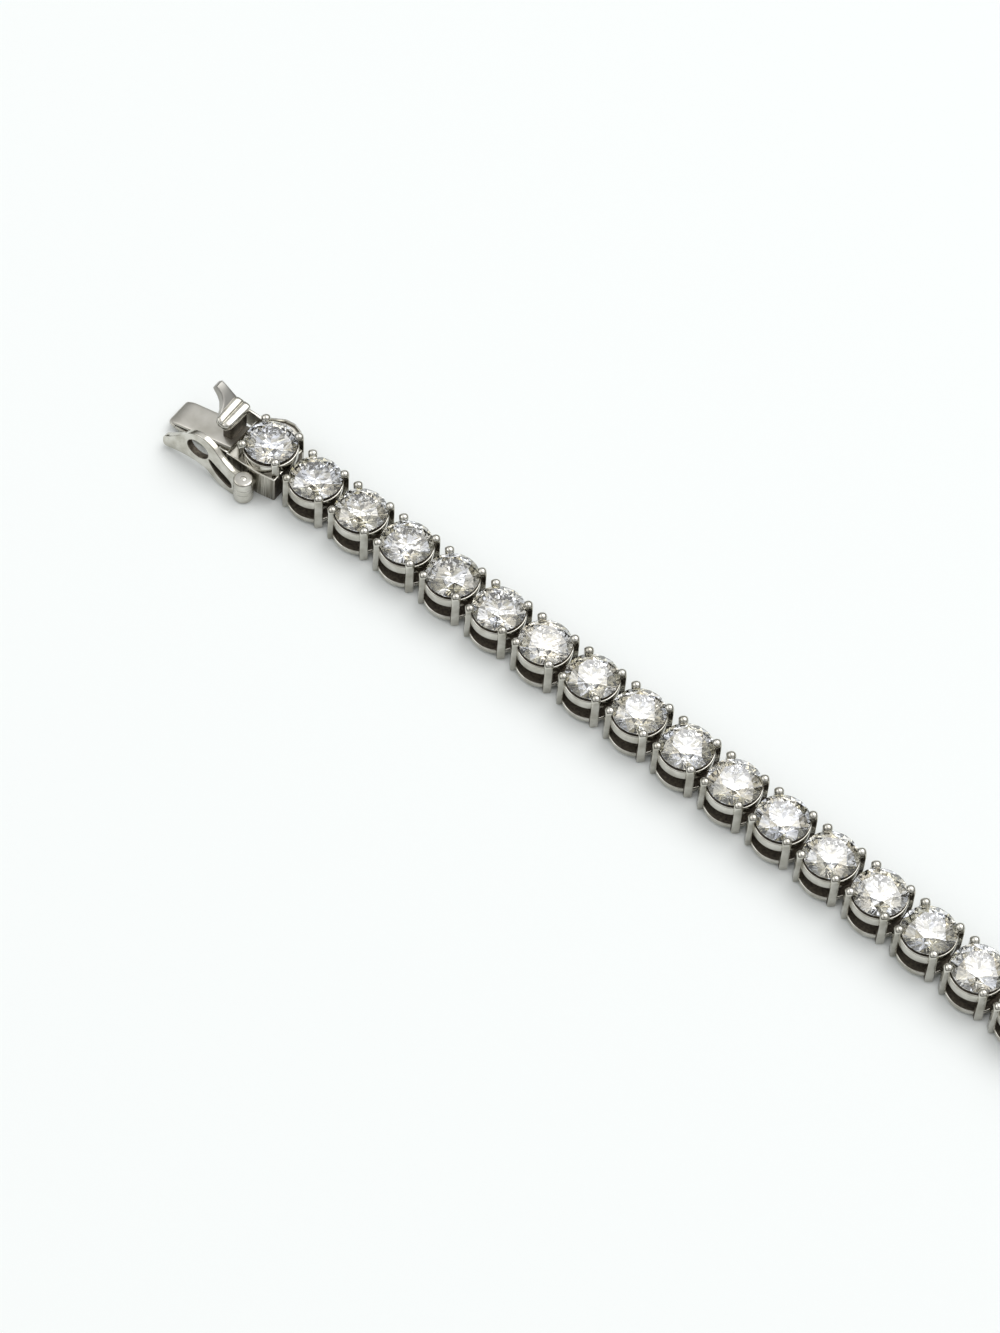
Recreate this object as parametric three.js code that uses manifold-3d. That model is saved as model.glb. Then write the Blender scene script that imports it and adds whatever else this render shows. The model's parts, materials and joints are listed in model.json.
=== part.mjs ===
// A tennis bracelet lying unfastened and nearly straight: round stones in four-prong settings,
// hinged in a row, with a sprung tongue and its safety catch at one end and the box it snaps into
// at the other. Millimetres, +Z up, the row along X, the tongue at -X.
import * as THREE from "three";
import { mergeVertices } from "three/addons/utils/BufferGeometryUtils.js";
import Module from "manifold-3d";

const wasm = await Module();
wasm.setup();

// Driving dimensions
const stoneCount = 40; // one on the tongue link, one on the box, the rest in settings
const pitch = 4.35; // from stone to stone
const linksPerRun = 3; // settings joined along their hinges into one solid
const bend = THREE.MathUtils.degToRad(0.216); // the row turns this much to the right at each link
const stagger = THREE.MathUtils.degToRad(1.8); // each setting stands this far round on its hinge
const claspTurn = THREE.MathUtils.degToRad(5.6); // and the tongue link this far

const stone = {
  radius: 1.95,
  tableRadius: 1.1,
  culet: 1.2,
  girdleLow: 2.82,
  girdleHigh: 2.95,
  table: 3.5,
  sides: 8,
};

const prong = {
  inner: 1.98,
  outer: 2.42,
  width: 0.61,
  height: 3.36,
  claw: 1.8, // how near the axis the tip reaches
  clawLow: 3.14,
  chamfer: 0.13,
};
const upperRing = { inner: 1.68, outer: 2.08, low: 1.8, high: 2.55 };
const lowerRing = { inner: 1.0, outer: 2.08, low: 0.2, high: 0.62 };
const ringSides = 8;
const hinge = { width: 1.3, low: 0.25, high: 0.8, from: 1.7, gap: 0.12 };

const headRise = 0.5; // the two clasp heads hold their stones this much higher
const base = {
  high: 2.4, // the two clasp bases stand on the surface
  wall: 0.28,
  end: 1.85,
  well: 1.5, // radius of the hole under a head
  rim: 0.2,
  deck: 2.2, // the floor inside the rim of the tongue's base
  pocket: 2.0, // how far up the base is hollow
};
const drum = { x: -0.22, y: -3.08, radius: 0.75, low: 0.03, high: 2.12, earLow: 0.9, earHigh: 1.4 };
const pin = { radius: 0.22, clearance: 0.04, sides: 8 };
const running = 0.04; // gap between pieces that turn on each other
const tongue = {
  halfWidth: 1.2,
  thickness: 0.32,
  foldX: -8.15,
  foldZ: 0.68,
  foldRadius: 0.34,
  slope: 0.17,
  leafEnd: -2.7, // the upper leaf's end, over the lower one's root
  root: -2.3,
};
const cheek = { from: 1.75, to: 2 };
const press = { from: -4.25, to: -2.85, near: -1.3, far: 1.62, low: 3.4, top: 4.18, ridge: 0.33 };
const stem = { behind: 0.45, ahead: 0.5, near: -0.55, far: 1.45 }; // from the middle of the press
const fin = { near: 0.3, far: 1.55 };
const catchPlate = {
  turn: THREE.MathUtils.degToRad(5),
  thickness: 0.5,
  y: 0.05,
  lean: 0.16, // the plate leans in by this much for each unit of height
  leanFrom: 1.5,
};
const loop = { x: -4.3, z: 2.05, halfLong: 0.96, halfHigh: 0.62, sides: 10 };
const box = { mouth: 3.95, halfWidth: 2.32, backHalfWidth: 2.2, floor: 0.3, roof: 2.05, notch: 1.75 };
const peg = { x: 2.15, z: 2.05, radius: 0.68, neck: 0.34, root: 2.1, reach: 3.0 };
const roundSides = 12;

const metal = () => new THREE.MeshStandardMaterial({ color: 0xb9b5ad, metalness: 1, roughness: 0.28 });
const crystal = () => new THREE.MeshStandardMaterial({ color: 0xf4f4f2, metalness: 0, roughness: 0.02 });

// Solids and booleans
function solidOf(geometry) {
  const bare = geometry.clone();
  bare.deleteAttribute("normal");
  bare.deleteAttribute("uv");
  const merged = mergeVertices(bare, 1e-4);
  return new wasm.Manifold(
    new wasm.Mesh({
      numProp: 3,
      vertProperties: new Float32Array(merged.attributes.position.array),
      triVerts: new Uint32Array(merged.index.array),
    }),
  );
}

function geometryOf(solid) {
  const mesh = solid.getMesh();
  const geometry = new THREE.BufferGeometry();
  geometry.setAttribute("position", new THREE.BufferAttribute(new Float32Array(mesh.vertProperties), 3));
  geometry.setIndex(new THREE.BufferAttribute(new Uint32Array(mesh.triVerts), 1));
  const flat = geometry.toNonIndexed();
  flat.computeVertexNormals();
  return flat;
}

const join = (geometries) => geometries.map(solidOf).reduce((whole, next) => whole.add(next));
const cut = (solid, geometries) => solid.subtract(join(geometries));

// Shapes
function block(x0, x1, y0, y1, z0, z1) {
  return new THREE.BoxGeometry(x1 - x0, y1 - y0, z1 - z0)
    .translate((x0 + x1) / 2, (y0 + y1) / 2, (z0 + z1) / 2);
}

function post(x, y, z0, z1, radius, sides = roundSides) {
  return new THREE.CylinderGeometry(radius, radius, z1 - z0, sides)
    .rotateX(Math.PI / 2)
    .translate(x, y, (z0 + z1) / 2);
}

// A flat outline in X and Z, carried along Y from y0 to y1
function slabXZ(points, y0, y1, holes = []) {
  const outline = new THREE.Shape(points.map(([x, z]) => new THREE.Vector2(x, z)));
  outline.holes = holes.map((hole) => new THREE.Path(hole.map(([x, z]) => new THREE.Vector2(x, z))));
  return new THREE.ExtrudeGeometry(outline, { depth: y1 - y0, bevelEnabled: false })
    .rotateX(Math.PI / 2)
    .translate(0, y1, 0);
}

// A flat outline in X and Y, carried up from z0 to z1
function slabXY(points, z0, z1) {
  const outline = new THREE.Shape(points.map(([x, y]) => new THREE.Vector2(x, y)));
  return new THREE.ExtrudeGeometry(outline, { depth: z1 - z0, bevelEnabled: false }).translate(0, 0, z0);
}

function ring({ inner, outer, low, high }) {
  const profile = [
    [inner, low],
    [outer, low],
    [outer, high],
    [inner, high],
    [inner, low],
  ].map(([r, z]) => new THREE.Vector2(r, z));
  return new THREE.LatheGeometry(profile, ringSides).rotateX(Math.PI / 2);
}

// Stones: a table, a sloped crown, a thin girdle and a pavilion down to the culet
function stoneGeometry() {
  const profile = [
    [0, stone.culet],
    [stone.radius, stone.girdleLow],
    [stone.radius, stone.girdleHigh],
    [stone.tableRadius, stone.table],
    [0, stone.table],
  ].map(([r, z]) => new THREE.Vector2(r, z));
  return new THREE.LatheGeometry(profile, stone.sides).rotateX(Math.PI / 2);
}

// Four prongs on the diagonals, each a flat upright whose tip reaches in over the girdle
function prongs(from, rise) {
  const top = prong.height + rise;
  const outline = [
    [prong.inner, from],
    [prong.outer, from],
    [prong.outer, top - prong.chamfer],
    [prong.outer - prong.chamfer, top],
    [prong.claw + prong.chamfer, top],
    [prong.claw, top - prong.chamfer],
    [prong.claw, prong.clawLow + rise],
    [prong.inner, prong.clawLow + rise],
  ];
  const upright = () => slabXZ(outline, -prong.width / 2, prong.width / 2);
  return [1, 3, 5, 7].map((eighth) => upright().rotateZ((eighth * Math.PI) / 4));
}

// Settings
function settingSolid() {
  return join([...prongs(0, 0), ring(upperRing), ring(lowerRing)]);
}

// The hinge between one setting and the next: whole inside a run, parted at its ends
function hingeBar(towards, whole) {
  const reach = whole ? pitch - hinge.from : pitch / 2 - hinge.gap / 2;
  const bar = block(hinge.from, reach, -hinge.width / 2, hinge.width / 2, hinge.low, hinge.high);
  return towards > 0 ? bar : bar.rotateZ(Math.PI);
}

// The round well that a raised stone's point goes down into
const well = () => post(0, 0, base.pocket - 0.2, base.high + 0.3, base.well);

// The hole for the pin
const bore = (x, y) => post(x, y, -1, base.high + 1, pin.radius + pin.clearance, pin.sides);

// The raised head of a clasp base
function headPieces() {
  const seat = { ...upperRing, low: base.high - 0.05, high: upperRing.high + headRise };
  return [...prongs(base.pocket + 0.1, headRise), ring(seat)];
}

// The base's walls and deck, with a shallow step inside the rim
function tongueBase() {
  const outline = [
    [base.end, -2.1],
    [base.end, 1.4],
    [1.45, 2.2],
    [0.75, 2.8],
    [0, 3.1],
    [-0.8, 3.05],
    [-1.6, 2.6],
    [-2.5, 2.1],
    [-2.5, -2.1],
    [0.5, -2.26],
  ];
  const insideRim = outline.map(([x, y]) => {
    const share = 1 - base.rim / Math.hypot(x, y);
    return [x * share, y * share];
  });
  const end = base.end - base.wall;
  return cut(solidOf(slabXY(outline, 0, base.high)), [
    slabXY(insideRim, base.deck, base.high + 1),
    block(-2.2, end, -1.85, 1.85, -1, base.pocket),
    well(),
  ]);
}

// Tongue link: base, head, hinge, lower leaf of the tongue, cheeks beside the press, the catch's ear
function tongueLinkSolid() {
  const leafEnd = tongue.foldX + tongue.foldRadius + running;
  const leafLow = tongue.foldZ - tongue.foldRadius;
  const nearCheek = [
    [-2.75, 1.3],
    [-2.3, 1.3],
    [-2.3, 2.3],
    [-3.3, 2.35],
    [-3.3, 1.9],
  ];
  const farCheek = [
    [-3.5, 1.2],
    [-2.3, 1.2],
    [-1.5, 2.3],
    [-1.5, 2.62],
    [-3.5, 2.85],
  ];
  const pieces = join([
    ...headPieces(),
    hingeBar(1, false),
    block(leafEnd, tongue.root, -tongue.halfWidth, tongue.halfWidth, leafLow, leafLow + tongue.thickness),
    slabXZ(farCheek, cheek.from, cheek.to),
    slabXZ(nearCheek, -cheek.to, -cheek.from),
    post(drum.x, drum.y, drum.earLow, drum.earHigh, drum.radius),
    block(drum.x - 0.4, drum.x + 0.4, drum.y, -2.1, drum.earLow, drum.earHigh),
  ]);
  return cut(tongueBase().add(pieces), [bore(drum.x, drum.y)]);
}

// Upper leaf: the rolled fold, the leaf, and the ridged thumb press with its raised tail
function pressSolid() {
  const rise = (x) => tongue.foldZ + tongue.foldRadius + tongue.slope * (x - tongue.foldX);
  const leaf = [
    [tongue.foldX, rise(tongue.foldX)],
    [tongue.foldX, rise(tongue.foldX) - tongue.thickness],
    [tongue.leafEnd, rise(tongue.leafEnd) - tongue.thickness],
    [tongue.leafEnd, rise(tongue.leafEnd)],
  ];
  const middle = (press.from + press.to) / 2;
  const fold = new THREE.CylinderGeometry(tongue.foldRadius, tongue.foldRadius, 2 * tongue.halfWidth, 10)
    .translate(tongue.foldX, 0, tongue.foldZ);
  const ridge = (x) =>
    new THREE.CylinderGeometry(press.ridge, press.ridge, press.far - press.near, 8)
      .translate(x, (press.far + press.near) / 2, press.top - press.ridge);
  const foot = rise(middle) - 0.2;
  const upright = block(
    middle - stem.behind,
    middle + stem.ahead,
    stem.near,
    stem.far,
    foot,
    press.top - 0.5,
  );
  const crest = press.top - press.ridge;
  const bar = block(press.from + 0.1, press.to - 0.1, press.near, press.far, press.low, crest);
  const tail = [
    [press.from + 0.4, press.low],
    [press.from + 0.5, press.top - 0.1],
    [-4.6, 4.45],
    [-5.3, 5.05],
    [-5.7, 5.05],
    [-5.6, 4.4],
    [-4.9, 3.7],
  ];
  return join([
    slabXZ(leaf, -tongue.halfWidth, tongue.halfWidth),
    fold,
    upright,
    bar,
    ridge(press.from + press.ridge),
    ridge(press.to - press.ridge),
    slabXZ(tail, fin.near, fin.far),
  ]);
}

// Safety catch: a figure of eight on two knuckles, x measured from the pin towards the tip
function catchSolid() {
  const outline = [
    [-0.3, 0.05], [-1.9, 0.05], [-2.6, 0.35], [-3.4, 0.72], [-4.6, 0.78], [-6.2, 0.55], [-7.2, 0.3],
    [-7.5, 0.45], [-7.55, 1.05], [-6.9, 1.5], [-5.95, 2.3], [-5.3, 2.98], [-4.6, 3.32], [-3.75, 3.36],
    [-2.95, 3.1], [-2.1, 2.55], [-1.2, 2.14], [-0.3, 2.1],
  ];
  const slit = [[-3.15, 1.8], [-2.7, 1.25], [-1.95, 0.8], [-1.0, 0.55], [-1.05, 1.0], [-2.0, 1.4]];
  const hole = Array.from({ length: loop.sides }, (_, i) => {
    const angle = (2 * Math.PI * i) / loop.sides;
    return [loop.x + loop.halfLong * Math.cos(angle), loop.z + loop.halfHigh * Math.sin(angle)];
  });
  const { thickness, y, lean, leanFrom } = catchPlate;
  const leaning = new THREE.Matrix4().set(1, 0, 0, 0, 0, 1, lean, -lean * leanFrom, 0, 0, 1, 0, 0, 0, 0, 1);
  const solid = join([
    slabXZ(outline, y - thickness / 2, y + thickness / 2, [hole, slit]).applyMatrix4(leaning),
    post(0, 0, drum.low, drum.earLow - running, drum.radius),
    post(0, 0, drum.earHigh + running, drum.high, drum.radius),
  ]);
  return cut(solid, [
    bore(0, 0),
    post(0, 0, drum.earLow - running, drum.earHigh + running, drum.radius + running),
  ]);
}

// Clasp box: a socket for the tongue, a notch for the press, a head, and the ball that the catch grips
function boxSolid() {
  const inside = box.halfWidth - base.wall;
  const ball = new THREE.SphereGeometry(peg.radius, 10, 6)
    .rotateX(Math.PI / 2)
    .translate(peg.x, -peg.reach, peg.z);
  const neck = new THREE.CylinderGeometry(peg.neck, peg.neck, peg.reach - peg.root, 8)
    .translate(peg.x, -(peg.reach + peg.root) / 2, peg.z);
  const shell = slabXY([
    [-base.end, -box.backHalfWidth],
    [box.mouth, -box.halfWidth],
    [box.mouth, box.halfWidth],
    [-base.end, box.backHalfWidth],
  ], 0, base.high);
  const hollow = cut(join([shell, ...headPieces(), hingeBar(-1, false)]), [
    well(),
    block(-base.end + base.wall, box.mouth + 1, -inside, inside, box.floor, box.roof),
    block(box.mouth - box.notch, box.mouth + 1, -inside, inside, 1, base.high + 1),
  ]);
  return hollow.add(join([ball, neck]));
}

// Where each stone stands: its place on the arc and the way it faces
function places() {
  const all = [];
  let x = 0;
  let y = 0;
  for (let i = 0; i < stoneCount; i++) {
    const heading = bend * ((stoneCount - 2) / 2 - i);
    const first = i === 0;
    const onClasp = first || i === stoneCount - 1;
    all.push({ x, y, turn: heading + (first ? claspTurn : stagger), rise: onClasp ? headRise : 0 });
    x += pitch * Math.cos(heading);
    y += pitch * Math.sin(heading);
  }
  return all;
}

// Assembly
const bracelet = new THREE.Group();
const stations = places();

function add(parent, name, geometry, material) {
  const mesh = new THREE.Mesh(geometry, material);
  mesh.name = name;
  parent.add(mesh);
  return mesh;
}

function stationGroup({ x, y, turn }) {
  const group = new THREE.Group();
  group.position.set(x, y, 0);
  group.rotation.z = turn;
  bracelet.add(group);
  return group;
}

const number = (i) => String(i).padStart(2, "0");

function addStones() {
  stations.forEach((station, i) => {
    const mesh = add(stationGroup(station), "stone_" + number(i + 1), stoneGeometry(), crystal());
    mesh.position.z = station.rise;
  });
}

// Settings are made in the bracelet's own axes, because each run holds several of them
function addSettings() {
  const setting = geometryOf(settingSolid());
  const last = stoneCount - 2;
  for (let first = 1, run = 1; first <= last; first += linksPerRun, run++) {
    const members = stations.slice(first, Math.min(first + linksPerRun, last + 1));
    const pieces = members.flatMap(({ x, y, turn }, i) => {
      const placed = [setting.clone(), hingeBar(1, i < members.length - 1)];
      if (i === 0) placed.push(hingeBar(-1, false));
      return placed.map((piece) => piece.rotateZ(turn).translate(x, y, 0));
    });
    add(bracelet, "settings_run_" + number(run), geometryOf(join(pieces)), metal());
  }
}

function addClasp() {
  const tongueEnd = stationGroup(stations[0]);
  add(tongueEnd, "tongue_link", geometryOf(tongueLinkSolid()), metal());
  add(tongueEnd, "thumb_press", geometryOf(pressSolid()), metal());
  const safety = add(tongueEnd, "safety_catch", geometryOf(catchSolid()), metal());
  safety.position.set(drum.x, drum.y, 0);
  safety.rotation.z = -catchPlate.turn;
  const rivet = post(drum.x, drum.y, drum.low, drum.high + 0.03, pin.radius, pin.sides);
  add(tongueEnd, "hinge_pin", rivet, metal());
  add(stationGroup(stations[stoneCount - 1]), "clasp_box", geometryOf(boxSolid()), metal());
}

addStones();
addSettings();
addClasp();

// The origin is the middle of the underside
bracelet.updateMatrixWorld(true);
const bounds = new THREE.Box3().setFromObject(bracelet, true);
const middle = bounds.getCenter(new THREE.Vector3());
bracelet.children.forEach((child) => child.position.sub(new THREE.Vector3(middle.x, middle.y, bounds.min.z)));

export default bracelet;
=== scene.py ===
import bpy
import json
import math
import numpy as np
from mathutils import Matrix, Vector
from mathutils.geometry import tessellate_polygon


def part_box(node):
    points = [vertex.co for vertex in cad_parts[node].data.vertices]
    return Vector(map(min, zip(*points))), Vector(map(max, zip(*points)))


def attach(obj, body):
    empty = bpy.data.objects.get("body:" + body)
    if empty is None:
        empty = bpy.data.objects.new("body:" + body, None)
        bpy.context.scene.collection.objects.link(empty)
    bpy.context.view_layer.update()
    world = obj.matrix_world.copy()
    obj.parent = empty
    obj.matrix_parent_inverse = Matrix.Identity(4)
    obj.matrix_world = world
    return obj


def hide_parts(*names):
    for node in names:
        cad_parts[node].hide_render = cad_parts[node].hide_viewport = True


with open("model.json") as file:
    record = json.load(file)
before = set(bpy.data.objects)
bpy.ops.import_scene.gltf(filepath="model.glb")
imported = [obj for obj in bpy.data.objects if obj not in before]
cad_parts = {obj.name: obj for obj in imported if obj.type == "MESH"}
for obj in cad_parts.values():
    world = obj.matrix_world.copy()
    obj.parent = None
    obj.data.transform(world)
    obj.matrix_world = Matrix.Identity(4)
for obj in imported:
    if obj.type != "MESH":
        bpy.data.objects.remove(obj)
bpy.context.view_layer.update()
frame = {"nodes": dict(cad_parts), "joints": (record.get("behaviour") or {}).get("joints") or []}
mm = 0.001
print("frame loaded:", len(frame["nodes"]), "nodes")

# Where each link stands comes from the stones: their centres, and the way from one to the next
row = {
    "stagger": 1.8,  # degrees that each setting stands round on its hinge
    "runLength": 3,  # settings in one soldered run
}


def readStations():
    names = sorted(name for name in frame["nodes"] if name.startswith("stone_"))
    boxes = np.array([[tuple(corner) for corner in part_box(name)] for name in names]) / mm
    centres = boxes.mean(axis=1)[:, :2]
    steps = np.diff(centres, axis=0)
    headings = np.arctan2(steps[:, 1], steps[:, 0])
    headings = np.append(headings, 2 * headings[-1] - headings[-2])
    turns = headings + math.radians(row["stagger"])
    press = next(joint for joint in frame["joints"] if joint["name"] == "press_flex")
    turns[0] = math.atan2(-press["axis"][0], press["axis"][1])  # the tongue's fold lies across its link
    lifts = boxes[:, 0, 2] - np.median(boxes[:, 0, 2])
    return names, centres, headings, turns, lifts


stoneNames, centres, headings, turns, lifts = readStations()
lastLink = len(stoneNames) - 1

# The camera, its height and side those of a close look down along the row
lookout = {
    "azimuth": 39.51,
    "elevation": 54.83,
    "roll": 5.03,
    "distance": 305.7,  # mm
    "aim": (25.40, -2.40, 3.24),  # mm from the first stone, and above the table
    "lens": 117.18,
}


def makeCamera():
    azimuth, elevation, roll = (math.radians(lookout[key]) for key in ("azimuth", "elevation", "roll"))
    back = Vector((
        math.sin(azimuth) * math.cos(elevation),
        -math.cos(azimuth) * math.cos(elevation),
        math.sin(elevation),
    ))
    right = (-back).cross(Vector((0, 0, 1))).normalized()
    up = right.cross(-back)
    across = math.cos(roll) * right + math.sin(roll) * up
    upright = math.cos(roll) * up - math.sin(roll) * right
    aim = Vector((*centres[0], 0)) + Vector(lookout["aim"])
    camera = bpy.data.objects.new("camera", bpy.data.cameras.new("camera"))
    bpy.context.scene.collection.objects.link(camera)
    turn = Matrix((across, upright, back)).transposed().to_4x4()
    camera.matrix_world = Matrix.Translation((aim + back * lookout["distance"]) * mm) @ turn
    camera.data.lens = lookout["lens"]
    camera.data.clip_start = 0.01
    camera.data.clip_end = 50
    bpy.context.scene.camera = camera


makeCamera()
print("camera placed")


# Colour and node helpers
def linear(hexColour):
    # sRGB hex to the linear values that shaders take
    shades = np.array([int(hexColour[i:i + 2], 16) for i in (1, 3, 5)]) / 255
    values = np.where(shades <= 0.04045, shades / 12.92, ((shades + 0.055) / 1.055) ** 2.4)
    return (*(float(v) for v in values), 1.0)


def addNode(tree, kind, values=None, links=None, **settings):
    made = tree.nodes.new(kind)
    for name, value in settings.items():
        setattr(made, name, value)
    for name, value in (values or {}).items():
        made.inputs[name].default_value = value
    for name, source in (links or {}).items():
        tree.links.new(source, made.inputs[name])
    return made


def setRamp(rampNode, stops):
    elements = rampNode.color_ramp.elements
    while len(elements) < len(stops):
        elements.new(0.5)
    for element, (position, colour) in zip(elements, stops):
        element.position = position
        element.color = colour


def newMaterial(name):
    material = bpy.data.materials.new(name)
    material.use_nodes = True
    material.node_tree.nodes.clear()
    return material, material.node_tree


def finishMaterial(tree, shader):
    addNode(tree, "ShaderNodeOutputMaterial", links={"Surface": shader.outputs[0]})


def finishRhodium(tree, look, tone, relief, depth, strength):
    # the tone noise runs from the shade, which is dull, to the colour, which is glossy; relief is the bump
    low, high = look["toneSpan"]
    tint = addNode(tree, "ShaderNodeValToRGB", links={"Fac": tone.outputs["Fac"]})
    setRamp(tint, [(low, linear(look["shade"])), (high, linear(look["colour"]))])
    glossy, dull = look["roughness"]
    gloss = addNode(tree, "ShaderNodeMapRange",
                    {"From Min": 0.3, "From Max": 0.7, "To Min": dull, "To Max": glossy},
                    {"Value": tone.outputs["Fac"]})
    bump = addNode(tree, "ShaderNodeBump", {"Strength": strength, "Distance": depth * mm},
                   {"Height": relief.outputs["Fac"]})
    shader = addNode(tree, "ShaderNodeBsdfPrincipled", {"Metallic": 1.0},
                     {"Base Color": tint.outputs["Color"], "Roughness": gloss.outputs["Result"],
                      "Normal": bump.outputs["Normal"]})
    finishMaterial(tree, shader)


# White gold under rhodium, polished with a buff: bright and slightly warm, with faint haze and soft
# unevenness left by casting and polishing
polished = {
    "colour": "#D3D1C9",
    "shade": "#B2AFA4",
    "toneSpan": (0.3, 0.62),
    "roughness": (0.08, 0.19),
    "haze": 0.9,  # mm across a hazy patch
    "ripple": 0.35,  # mm from crest to crest of the buffed surface
    "rippleDepth": 0.006,  # mm
}


def rhodiumPolished():
    material, tree = newMaterial("rhodium_polished")
    place = addNode(tree, "ShaderNodeTexCoord").outputs["Object"]
    haze = addNode(tree, "ShaderNodeTexNoise", {"Scale": 1 / (polished["haze"] * mm), "Detail": 4.0},
                   {"Vector": place})
    ripple = addNode(tree, "ShaderNodeTexNoise", {"Scale": 1 / (polished["ripple"] * mm), "Detail": 2.0},
                     {"Vector": place})
    finishRhodium(tree, polished, haze, ripple, polished["rippleDepth"], 0.35)
    return material


# The same white gold, rubbed upright with a fine stone: greyer, with thin upright lines
brushed = {
    "colour": "#BFBCB3",
    "shade": "#7B776D",
    "toneSpan": (0.35, 0.65),
    "roughness": (0.25, 0.38),
    "line": 0.11,  # mm between lines, coarser than the real ones so that they show
    "lineLength": 3.0,  # mm
    "lineDepth": 0.008,  # mm
}


def rhodiumBrushed():
    material, tree = newMaterial("rhodium_brushed")
    place = addNode(tree, "ShaderNodeTexCoord").outputs["Object"]
    stretch = addNode(tree, "ShaderNodeMapping",
                      {"Scale": (1.0, 1.0, brushed["line"] / brushed["lineLength"])}, {"Vector": place})
    lines = addNode(tree, "ShaderNodeTexNoise", {"Scale": 1 / (brushed["line"] * mm), "Detail": 3.0},
                    {"Vector": stretch.outputs["Vector"]})
    finishRhodium(tree, brushed, lines, lines, brushed["lineDepth"], 0.5)
    return material


# Round brilliants, cut and polished: clear and strongly refracting. Each facet's colour, carried in a corner
# attribute, is painted light: faint flashes of fire and, towards the girdle, painted dark reflections
gem = {
    "ior": 2.42,
}


def cutBrilliant():
    material, tree = newMaterial("cut_brilliant")
    painted_fire_shade = addNode(tree, "ShaderNodeAttribute", attribute_name="painted_fire_shade")
    shader = addNode(tree, "ShaderNodeBsdfPrincipled",
                     {"Roughness": 0.0, "IOR": gem["ior"], "Transmission Weight": 1.0},
                     {"Base Color": painted_fire_shade.outputs["Color"]})
    finishMaterial(tree, shader)
    return material


# The spring strip's rolled white gold: satin all over, with a soft cloudiness and hardly any grain
satin = {
    "colour": "#D6D3CB",
    "shade": "#BFBCB2",
    "toneSpan": (0.3, 0.65),
    "roughness": (0.30, 0.40),
    "cloud": 1.6,  # mm across a cloud
    "grain": 0.12,  # mm
    "grainDepth": 0.002,  # mm
}
# The same satin made greyer, as painted shade, for the press's tail and the top of the drum
satinShaded = {**satin, "colour": "#B8B6B0", "shade": "#A6A49E"}


def rhodiumSatin(name, look):
    material, tree = newMaterial(name)
    place = addNode(tree, "ShaderNodeTexCoord").outputs["Object"]
    cloud = addNode(tree, "ShaderNodeTexNoise", {"Scale": 1 / (look["cloud"] * mm), "Detail": 3.0},
                    {"Vector": place})
    grain = addNode(tree, "ShaderNodeTexNoise", {"Scale": 1 / (look["grain"] * mm), "Detail": 2.0},
                    {"Vector": place})
    finishRhodium(tree, look, cloud, grain, look["grainDepth"], 0.4)
    return material


# Inside faces, rough like metal left as cast where no buff reaches; their dark, slightly brown colour is
# painted shade for hollows, gaps and the undersides of parts
castShaded = {
    "colour": "#766F63",
    "shade": "#57514A",
    "roughness": 0.55,
    "skin": 0.2,  # mm between the hollows of the cast skin
    "skinDepth": 0.012,  # mm
}


def goldCastShaded():
    material, tree = newMaterial("gold_cast_painted_shade")
    place = addNode(tree, "ShaderNodeTexCoord").outputs["Object"]
    skin = addNode(tree, "ShaderNodeTexNoise", {"Scale": 1 / (castShaded["skin"] * mm), "Detail": 4.0},
                   {"Vector": place})
    tint = addNode(tree, "ShaderNodeValToRGB", links={"Fac": skin.outputs["Fac"]})
    setRamp(tint, [(0.35, linear(castShaded["shade"])), (0.7, linear(castShaded["colour"]))])
    bump = addNode(tree, "ShaderNodeBump", {"Strength": 0.6, "Distance": castShaded["skinDepth"] * mm},
                   {"Height": skin.outputs["Fac"]})
    shader = addNode(tree, "ShaderNodeBsdfPrincipled", {"Metallic": 1.0, "Roughness": castShaded["roughness"]},
                     {"Base Color": tint.outputs["Color"], "Normal": bump.outputs["Normal"]})
    finishMaterial(tree, shader)
    return material


polishedMetal = rhodiumPolished()
brushedMetal = rhodiumBrushed()
satinMetal = rhodiumSatin("rhodium_satin", satin)
satinShadedMetal = rhodiumSatin("rhodium_satin_painted_shade", satinShaded)
castShadedMetal = goldCastShaded()
gemGlass = cutBrilliant()
print("materials made")


# Surfaces. Each is (points, faces, material): points is an array of X, Y and Z in mm, faces a list of
# corner lists, all turned so that they look outwards, and material one index or one for each face
def faceOut(points, faces):
    # the signed volume is the sum over each face's fan of triangles; if it's negative, all faces turn round
    total = 0.0
    for size in {len(face) for face in faces}:
        corners = points[np.array([face for face in faces if len(face) == size])]
        first, second, third = corners[:, :1], corners[:, 1:-1], corners[:, 2:]
        total += np.einsum("ijk,ijk->", np.broadcast_to(first, second.shape), np.cross(second, third))
    return faces if total > 0 else [face[::-1] for face in faces]


def gridFaces(rows, columns, closeRows):
    # one quad for each cell of a grid whose columns close on themselves, and its rows too if asked
    i, j = np.meshgrid(np.arange(rows if closeRows else rows - 1), np.arange(columns), indexing="ij")
    up, across = (i + 1) % rows, (j + 1) % columns
    quads = np.stack([i * columns + j, i * columns + across, up * columns + across, up * columns + j], -1)
    return quads.reshape(-1, 4).tolist()


def tube(rings, material=0):
    # rings of points joined one to the next, and each end closed by a fan round its middle
    rows, columns = rings.shape[:2]
    points = np.concatenate([rings.reshape(-1, 3), rings[0].mean(0)[None], rings[-1].mean(0)[None]])
    faces = gridFaces(rows, columns, False)
    j = np.arange(columns)
    after = (j + 1) % columns
    foot, head = rows * columns, rows * columns + 1
    last = (rows - 1) * columns
    faces += np.stack([after, j, np.full(columns, foot)], -1).tolist()
    faces += np.stack([last + j, last + after, np.full(columns, head)], -1).tolist()
    if np.ndim(material):
        material = np.append(material, np.zeros(2 * columns, int))
    return points, faceOut(points, faces), material


def torus(grid, material=0):
    # a grid of points that closes both ways
    points = grid.reshape(-1, 3)
    return points, faceOut(points, gridFaces(*grid.shape[:2], True)), material


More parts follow.
